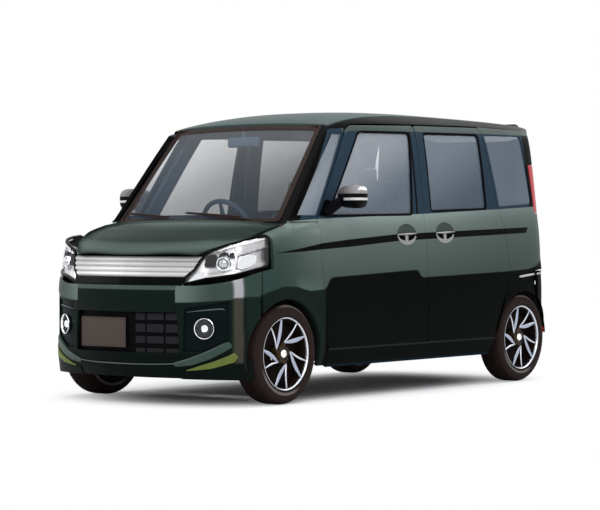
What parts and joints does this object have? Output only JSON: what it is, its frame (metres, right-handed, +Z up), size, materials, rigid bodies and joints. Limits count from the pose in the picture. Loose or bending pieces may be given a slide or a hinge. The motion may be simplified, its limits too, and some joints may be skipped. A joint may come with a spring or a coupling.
{
  "type": "kei car",
  "caption": "Tall small passenger car with swinging front doors, fixed sliding-style rear doors, lifting bonnet and tailgate, steered front wheels and a furnished cabin.",
  "frame": {"origin": "on the ground, at the middle of the bounding box's footprint", "axes": "+Z up, -Y towards the nose, +X towards the car's left side"},
  "size_m": [1.8268, 3.395, 1.6899],
  "materials": {
    "paint": "metallic clear coat",
    "black_trim": "grained",
    "piano_black": "gloss",
    "underbody": "satin",
    "tinted_glass": "tinted",
    "clear_lens": "clear",
    "red_lens": "gloss",
    "bright_grille": "brushed",
    "plate": "satin",
    "wheel_alloy": "satin",
    "tyre": "matt",
    "core_alloy": "matt",
    "engine_iron": "matt",
    "exhaust_steel": "satin",
    "chassis_iron": "satin",
    "cabin_plastic": "grained",
    "seat_fabric": "woven",
    "wheel_grip": "grained"
  },
  "bodies": {
    "body": {"floor_pan": "underbody", "side_frames": "piano_black", "roof_panel": "paint", "front_fenders": "paint", "rear_quarters": "paint", "inner_frames": "piano_black", "fixed_glass": "tinted_glass", "cowl": "black_trim", "wipers": "black_trim", "front_bumper": "paint", "upper_grille": "bright_grille", "intake_grille": "black_trim", "lamp_housings": "piano_black", "lamp_lenses": "clear_lens", "front_plate": "plate", "radiator": "core_alloy", "engine_block": "engine_iron", "exhaust": "exhaust_steel", "rear_bumper": "paint", "tail_lamps": "red_lens", "sliding_doors": "paint", "dashboard": "cabin_plastic", "seats": "seat_fabric", "rear_axle": "chassis_iron", "front_suspension": "chassis_iron"},
    "bonnet": {"bonnet": "paint"},
    "door_left": {"door_left": "paint", "door_glass_left": "tinted_glass", "mirror_left": "bright_grille"},
    "door_right": {"door_right": "paint", "door_glass_right": "tinted_glass", "mirror_right": "bright_grille"},
    "tailgate": {"tailgate": "paint", "tailgate_glass": "tinted_glass"},
    "steering_wheel": {"steering_wheel": "wheel_grip"},
    "knuckle_left": {"knuckle_left": "chassis_iron"},
    "knuckle_right": {"knuckle_right": "chassis_iron"},
    "wheel_front_left": {"tyre_front_left": "tyre", "rim_front_left": "wheel_alloy"},
    "wheel_front_right": {"tyre_front_right": "tyre", "rim_front_right": "wheel_alloy"},
    "wheel_rear_left": {"tyre_rear_left": "tyre", "rim_rear_left": "wheel_alloy"},
    "wheel_rear_right": {"tyre_rear_right": "tyre", "rim_rear_right": "wheel_alloy"}
  },
  "joints": [
    {"name": "door_left_swing", "type": "hinge", "parent": "body", "child": "door_left", "pos_m": [0.712, -0.883, 0.6], "axis": [0, 0, -1], "range_deg": [0, 65]},
    {"name": "door_right_swing", "type": "hinge", "parent": "body", "child": "door_right", "pos_m": [-0.712, -0.883, 0.6], "axis": [0, 0, 1], "range_deg": [0, 65]},
    {"name": "bonnet_lift", "type": "hinge", "parent": "body", "child": "bonnet", "pos_m": [0, -1.055, 0.998], "axis": [-1, 0, 0], "range_deg": [0, 55]},
    {"name": "tailgate_lift", "type": "hinge", "parent": "body", "child": "tailgate", "pos_m": [0, 1.528, 1.678], "axis": [1, 0, 0], "range_deg": [0, 85]},
    {"name": "steering_wheel_turn", "type": "hinge", "parent": "body", "child": "steering_wheel", "pos_m": [-0.34, -0.358, 0.977], "axis": [0, 0.9063, 0.4226], "range_deg": [-540, 540]},
    {"name": "steer_left", "type": "hinge", "parent": "body", "child": "knuckle_left", "pos_m": [0.585, -1.1325, 0.17], "axis": [-0.1796, 0, 0.9837], "range_deg": [-35, 35]},
    {"name": "steer_right", "type": "hinge", "parent": "body", "child": "knuckle_right", "pos_m": [-0.585, -1.1325, 0.17], "axis": [0.1796, 0, 0.9837], "range_deg": [-35, 35]},
    {"name": "wheel_front_left_spin", "type": "hinge", "parent": "knuckle_left", "child": "wheel_front_left", "pos_m": [0.6475, -1.1325, 0.281], "axis": [1, 0, 0], "continuous": true},
    {"name": "wheel_rear_left_spin", "type": "hinge", "parent": "body", "child": "wheel_rear_left", "pos_m": [0.645, 1.2925, 0.281], "axis": [1, 0, 0], "continuous": true},
    {"name": "wheel_front_right_spin", "type": "hinge", "parent": "knuckle_right", "child": "wheel_front_right", "pos_m": [-0.6475, -1.1325, 0.281], "axis": [1, 0, 0], "continuous": true},
    {"name": "wheel_rear_right_spin", "type": "hinge", "parent": "body", "child": "wheel_rear_right", "pos_m": [-0.645, 1.2925, 0.281], "axis": [1, 0, 0], "continuous": true}
  ],
  "couplings": [
    {"joint": "steer_right", "follows": "steer_left", "ratio": 1},
    {"joint": "steering_wheel_turn", "follows": "steer_left", "ratio": 15.4}
  ]
}
